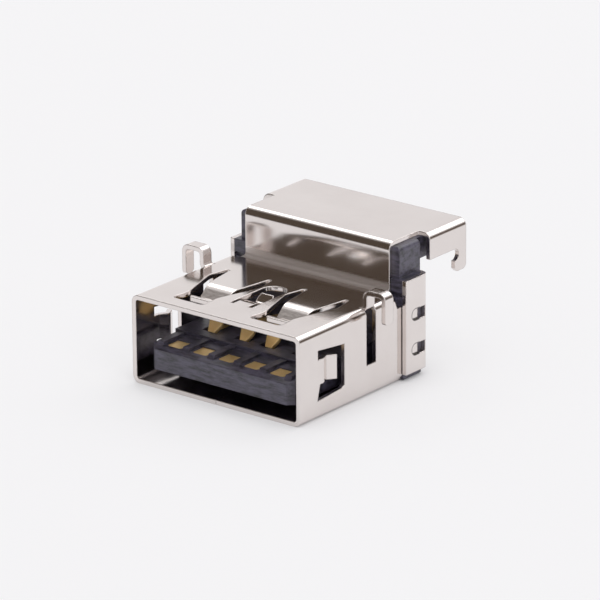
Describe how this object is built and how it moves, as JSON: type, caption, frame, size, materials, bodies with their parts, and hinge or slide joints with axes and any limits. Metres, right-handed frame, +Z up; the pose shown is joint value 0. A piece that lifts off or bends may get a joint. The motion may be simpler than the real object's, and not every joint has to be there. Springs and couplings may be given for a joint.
{
  "type": "usb type-a socket",
  "caption": "Board socket for a wide flat plug, with a folded metal shell, a black contact tongue, sprung shell fingers and a raised rear cover with board legs.",
  "frame": {"origin": "middle of the mouth's lower edge: on the centre line, in the plane of the shell's front edge and on its flat bottom", "axes": "+X to the right seen from the mouth, +Y back into the socket, +Z up, away from the flat bottom that it lies on"},
  "size_m": [0.016, 0.0167, 0.0088],
  "materials": {
    "nickel_sheet": "bright satin nickel plating",
    "black_moulding": "moulded, low sheen",
    "gold_contact": "gold plating, smooth"
  },
  "bodies": {
    "root": {"shell": "nickel_sheet", "rear_shield": "nickel_sheet", "housing": "black_moulding", "flat_contact_1": "gold_contact", "flat_contact_2": "gold_contact", "flat_contact_3": "gold_contact", "flat_contact_4": "gold_contact", "flat_contact_5": "gold_contact", "spring_contact_1": "gold_contact", "spring_contact_2": "gold_contact", "spring_contact_3": "gold_contact", "spring_contact_4": "gold_contact"}
  },
  "joints": []
}
